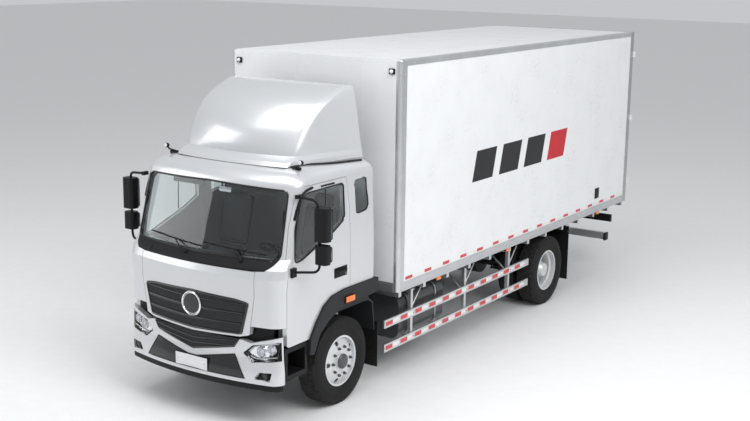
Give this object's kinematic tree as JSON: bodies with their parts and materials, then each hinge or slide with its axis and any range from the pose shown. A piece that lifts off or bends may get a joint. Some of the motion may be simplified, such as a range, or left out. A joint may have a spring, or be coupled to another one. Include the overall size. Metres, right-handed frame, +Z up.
{
  "type": "refrigerated box truck",
  "caption": "Two-axle truck with a day cab, roof fairing and insulated box body; wheels, steering, cab doors, front flap and rear doors move.",
  "frame": {"origin": "on the ground, in the middle of the truck's length and width", "axes": "+X to the truck's left, +Y to its rear, +Z up"},
  "size_m": [3, 9.17, 3.8899],
  "materials": {
    "chassis_black": "satin black chassis paint",
    "engine_grey": "plain painted casting",
    "bare_steel": "turned steel",
    "tank_grey": "satin dark grey",
    "black_plastic": "fine-grained black plastic",
    "cab_paint": "pearl white-silver under clear coat",
    "grille_dark": "dark grille plastic",
    "lamp_clear": "clear lamp lens over bright reflectors",
    "aluminium": "satin extruded aluminium",
    "black_rubber": "matte rubber",
    "floor_coating": "grained grey floor coating",
    "box_white": "smooth white gel-coat panel",
    "stainless": "brushed stainless steel",
    "cab_trim_dark": "soft grained dark grey trim",
    "glass": "lightly tinted glass",
    "anthracite": "anthracite moulded plastic",
    "seat_fabric": "dark woven seat cloth",
    "tyre": "moulded tyre rubber",
    "rim_silver": "silver wheel paint"
  },
  "bodies": {
    "chassis": {"frame": "chassis_black", "engine": "engine_grey", "drive_shaft": "bare_steel", "front_axle": "chassis_black", "rear_axle": "chassis_black", "leaf_springs": "chassis_black", "fuel_tank": "tank_grey", "battery_box": "black_plastic", "air_tanks": "chassis_black", "front_bumper": "cab_paint", "bumper_beam": "black_plastic", "lower_grille": "grille_dark", "headlamps": "lamp_clear", "side_guards": "aluminium", "underrun_bar": "aluminium", "lamp_bar": "black_plastic", "mudflaps": "black_rubber", "box_sills": "aluminium", "box_bearers": "aluminium", "box_floor": "floor_coating", "box_front_wall": "box_white", "box_side_walls": "box_white", "box_roof": "box_white", "box_edge_frame": "aluminium", "rear_frame": "stainless", "cab_floor": "cab_trim_dark", "cab_back_wall": "cab_paint", "cab_roof": "cab_paint", "cab_sides": "cab_paint", "cab_front": "cab_paint", "cowl": "black_plastic", "cab_glass": "glass", "wheel_arches": "anthracite", "entry_steps": "black_plastic", "dashboard": "cab_trim_dark", "seats": "seat_fabric", "roof_fairing": "cab_paint"},
    "front_flap": {"front_flap": "cab_paint", "grille": "grille_dark"},
    "cab_door_left": {"door_left": "cab_paint", "door_glass_left": "glass", "mirror_left": "black_plastic"},
    "cab_door_right": {"door_right": "cab_paint", "door_glass_right": "glass", "mirror_right": "black_plastic"},
    "rear_door_left": {"rear_door_left": "box_white"},
    "rear_door_right": {"rear_door_right": "box_white"},
    "knuckle_left": {"knuckle_left": "chassis_black"},
    "knuckle_right": {"knuckle_right": "chassis_black"},
    "tie_rod": {"tie_rod": "chassis_black"},
    "steering_wheel": {"steering_wheel": "black_plastic"},
    "wheel_front_left": {"tyre_front_left": "tyre", "rim_front_left": "rim_silver"},
    "wheel_front_right": {"tyre_front_right": "tyre", "rim_front_right": "rim_silver"},
    "wheel_rear_left": {"tyre_rear_left": "tyre", "rim_rear_left": "rim_silver"},
    "wheel_rear_right": {"tyre_rear_right": "tyre", "rim_rear_right": "rim_silver"}
  },
  "joints": [
    {"name": "door_left_hinge", "type": "hinge", "parent": "chassis", "child": "cab_door_left", "pos_m": [1.136, -4.296, 1.4], "axis": [0, 0, -1], "range_deg": [0, 70]},
    {"name": "door_right_hinge", "type": "hinge", "parent": "chassis", "child": "cab_door_right", "pos_m": [-1.136, -4.296, 1.4], "axis": [0, 0, 1], "range_deg": [0, 70]},
    {"name": "front_flap_hinge", "type": "hinge", "parent": "chassis", "child": "front_flap", "pos_m": [0, -4.535, 1.762], "axis": [-1, 0, 0], "range_deg": [0, 65]},
    {"name": "rear_door_left_hinge", "type": "hinge", "parent": "chassis", "child": "rear_door_left", "pos_m": [1.29, 4.575, 2.4], "axis": [0, 0, -1], "range_deg": [0, 270]},
    {"name": "rear_door_right_hinge", "type": "hinge", "parent": "chassis", "child": "rear_door_right", "pos_m": [-1.29, 4.575, 2.4], "axis": [0, 0, 1], "range_deg": [0, 270]},
    {"name": "steer_left", "type": "hinge", "parent": "chassis", "child": "knuckle_left", "pos_m": [0.88, -3.295, 0.508], "axis": [0, 0, 1], "range_deg": [-35, 35]},
    {"name": "steer_right", "type": "hinge", "parent": "chassis", "child": "knuckle_right", "pos_m": [-0.88, -3.295, 0.508], "axis": [0, 0, 1], "range_deg": [-35, 35]},
    {"name": "tie_rod_pivot", "type": "hinge", "parent": "knuckle_left", "child": "tie_rod", "pos_m": [0.88, -3.125, 0.38], "axis": [0, 0, 1], "range_deg": [-35, 35]},
    {"name": "steering_wheel_turn", "type": "hinge", "parent": "chassis", "child": "steering_wheel", "pos_m": [0.63, -3.815, 1.84], "axis": [0, 0.5299, 0.848], "range_deg": [-560, 560]},
    {"name": "wheel_front_left_spin", "type": "hinge", "parent": "knuckle_left", "child": "wheel_front_left", "pos_m": [1.005, -3.295, 0.508], "axis": [1, 0, 0], "continuous": true},
    {"name": "wheel_front_right_spin", "type": "hinge", "parent": "knuckle_right", "child": "wheel_front_right", "pos_m": [-1.005, -3.295, 0.508], "axis": [1, 0, 0], "continuous": true},
    {"name": "wheel_rear_left_spin", "type": "hinge", "parent": "chassis", "child": "wheel_rear_left", "pos_m": [1.107, 1.785, 0.508], "axis": [1, 0, 0], "continuous": true},
    {"name": "wheel_rear_right_spin", "type": "hinge", "parent": "chassis", "child": "wheel_rear_right", "pos_m": [-1.107, 1.785, 0.508], "axis": [1, 0, 0], "continuous": true}
  ],
  "couplings": [
    {"joint": "steer_right", "follows": "steer_left", "ratio": 1},
    {"joint": "tie_rod_pivot", "follows": "steer_left", "ratio": -1},
    {"joint": "steering_wheel_turn", "follows": "steer_left", "ratio": 16}
  ]
}
